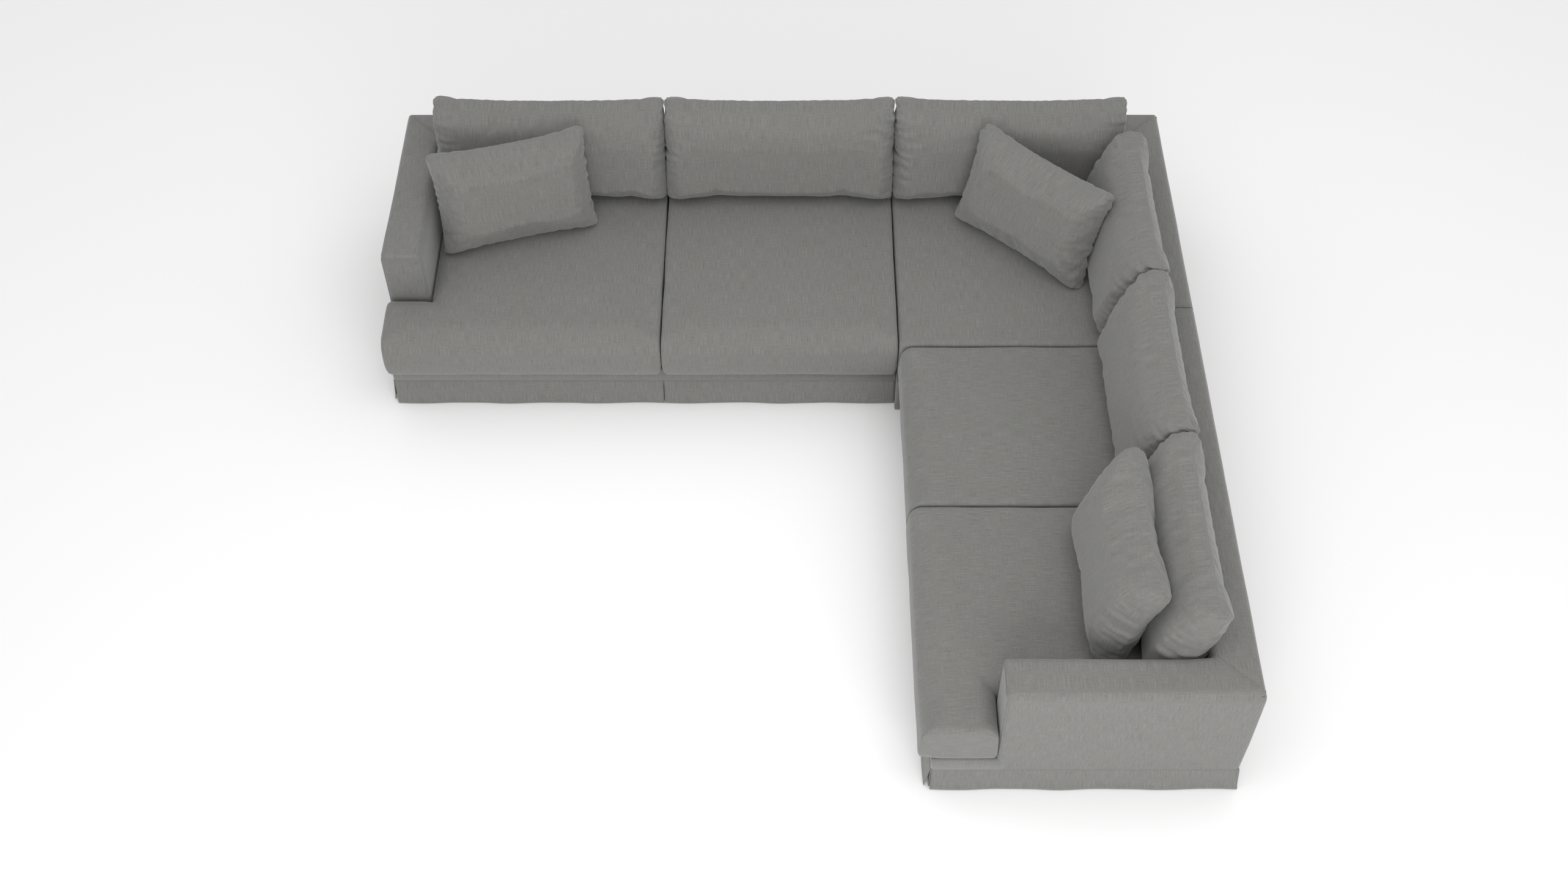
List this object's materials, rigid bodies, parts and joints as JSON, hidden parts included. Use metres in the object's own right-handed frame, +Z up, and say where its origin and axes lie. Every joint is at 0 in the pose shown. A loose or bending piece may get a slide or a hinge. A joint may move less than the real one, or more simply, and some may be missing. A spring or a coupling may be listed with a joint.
{
  "type": "corner sofa",
  "caption": "Slipcovered modular corner sofa with loose seat and back cushions, low padded arms, a kick-pleat skirt and throw pillows, on a webbed timber frame.",
  "frame": {"origin": "on the floor at the middle of the plan's bounding rectangle", "axes": "+X along the long run towards the corner module, +Y to the rear of the long run, +Z up"},
  "size_m": [3.3356, 3.0056, 0.8697],
  "materials": {
    "linen": "matte",
    "filling": "matte",
    "wadding": "matte",
    "webbing": "matte",
    "timber": "matte",
    "foot_wood": "satin",
    "steel": "satin"
  },
  "bodies": {
    "corner_module": {"corner_side_cover": "linen", "corner_rear_cover": "linen", "corner_padding": "wadding", "corner_upper_frame": "timber", "corner_rails": "timber", "corner_webbing": "webbing", "corner_deck": "linen", "corner_feet": "foot_wood", "corner_skirt": "linen", "corner_keepers": "steel"},
    "left_module": {"left_arm_cover": "linen", "left_back_cover": "linen", "left_padding": "wadding", "left_upper_frame": "timber", "left_rails": "timber", "left_webbing": "webbing", "left_deck": "linen", "left_feet": "foot_wood", "left_skirt": "linen", "left_hooks": "steel"},
    "right_module": {"right_arm_cover": "linen", "right_back_cover": "linen", "right_padding": "wadding", "right_upper_frame": "timber", "right_rails": "timber", "right_webbing": "webbing", "right_deck": "linen", "right_feet": "foot_wood", "right_skirt": "linen", "right_hooks": "steel"},
    "left_seat_end": {"left_seat_end_cover": "linen", "left_seat_end_core": "filling"},
    "left_seat_mid": {"left_seat_mid_cover": "linen", "left_seat_mid_core": "filling"},
    "left_back_end": {"left_back_end_cover": "linen", "left_back_end_core": "filling"},
    "left_back_mid": {"left_back_mid_cover": "linen", "left_back_mid_core": "filling"},
    "left_pillow": {"left_pillow_cover": "linen", "left_pillow_core": "filling"},
    "corner_seat": {"corner_seat_cover": "linen", "corner_seat_core": "filling"},
    "corner_back_rear": {"corner_back_rear_cover": "linen", "corner_back_rear_core": "filling"},
    "corner_back_side": {"corner_back_side_cover": "linen", "corner_back_side_core": "filling"},
    "corner_pillow": {"corner_pillow_cover": "linen", "corner_pillow_core": "filling"},
    "right_seat_end": {"right_seat_end_cover": "linen", "right_seat_end_core": "filling"},
    "right_seat_mid": {"right_seat_mid_cover": "linen", "right_seat_mid_core": "filling"},
    "right_back_end": {"right_back_end_cover": "linen", "right_back_end_core": "filling"},
    "right_back_mid": {"right_back_mid_cover": "linen", "right_back_mid_core": "filling"},
    "right_pillow": {"right_pillow_cover": "linen", "right_pillow_core": "filling"}
  },
  "joints": [
    {"name": "left_module_slide", "type": "slide", "parent": "corner_module", "child": "left_module", "axis": [-1, 0, 0], "range_m": [0, 0.25]},
    {"name": "right_module_slide", "type": "slide", "parent": "corner_module", "child": "right_module", "axis": [0, -1, 0], "range_m": [0, 0.25]},
    {"name": "left_seat_end_lift", "type": "slide", "parent": "left_module", "child": "left_seat_end", "axis": [0, 0, 1], "range_m": [0, 0.45]},
    {"name": "left_seat_mid_lift", "type": "slide", "parent": "left_module", "child": "left_seat_mid", "axis": [0, 0, 1], "range_m": [0, 0.45]},
    {"name": "left_back_end_lift", "type": "slide", "parent": "left_seat_end", "child": "left_back_end", "axis": [0, 0.2079, 0.9781], "range_m": [0, 0.45]},
    {"name": "left_back_mid_lift", "type": "slide", "parent": "left_seat_mid", "child": "left_back_mid", "axis": [0, 0.2079, 0.9781], "range_m": [0, 0.45]},
    {"name": "left_pillow_lift", "type": "slide", "parent": "left_back_end", "child": "left_pillow", "axis": [0, 0, 1], "range_m": [0, 0.45]},
    {"name": "corner_seat_lift", "type": "slide", "parent": "corner_module", "child": "corner_seat", "axis": [0, 0, 1], "range_m": [0, 0.45]},
    {"name": "corner_back_rear_lift", "type": "slide", "parent": "corner_seat", "child": "corner_back_rear", "axis": [0, 0.2079, 0.9781], "range_m": [0, 0.45]},
    {"name": "corner_back_side_lift", "type": "slide", "parent": "corner_seat", "child": "corner_back_side", "axis": [0.2079, 0, 0.9781], "range_m": [0, 0.45]},
    {"name": "corner_pillow_lift", "type": "slide", "parent": "corner_back_rear", "child": "corner_pillow", "axis": [0, 0, 1], "range_m": [0, 0.45]},
    {"name": "right_seat_end_lift", "type": "slide", "parent": "right_module", "child": "right_seat_end", "axis": [0, 0, 1], "range_m": [0, 0.45]},
    {"name": "right_seat_mid_lift", "type": "slide", "parent": "right_module", "child": "right_seat_mid", "axis": [0, 0, 1], "range_m": [0, 0.45]},
    {"name": "right_back_end_lift", "type": "slide", "parent": "right_seat_end", "child": "right_back_end", "axis": [0.2079, 0, 0.9781], "range_m": [0, 0.45]},
    {"name": "right_back_mid_lift", "type": "slide", "parent": "right_seat_mid", "child": "right_back_mid", "axis": [0.2079, 0, 0.9781], "range_m": [0, 0.45]},
    {"name": "right_pillow_lift", "type": "slide", "parent": "right_back_end", "child": "right_pillow", "axis": [0, 0, 1], "range_m": [0, 0.45]}
  ]
}
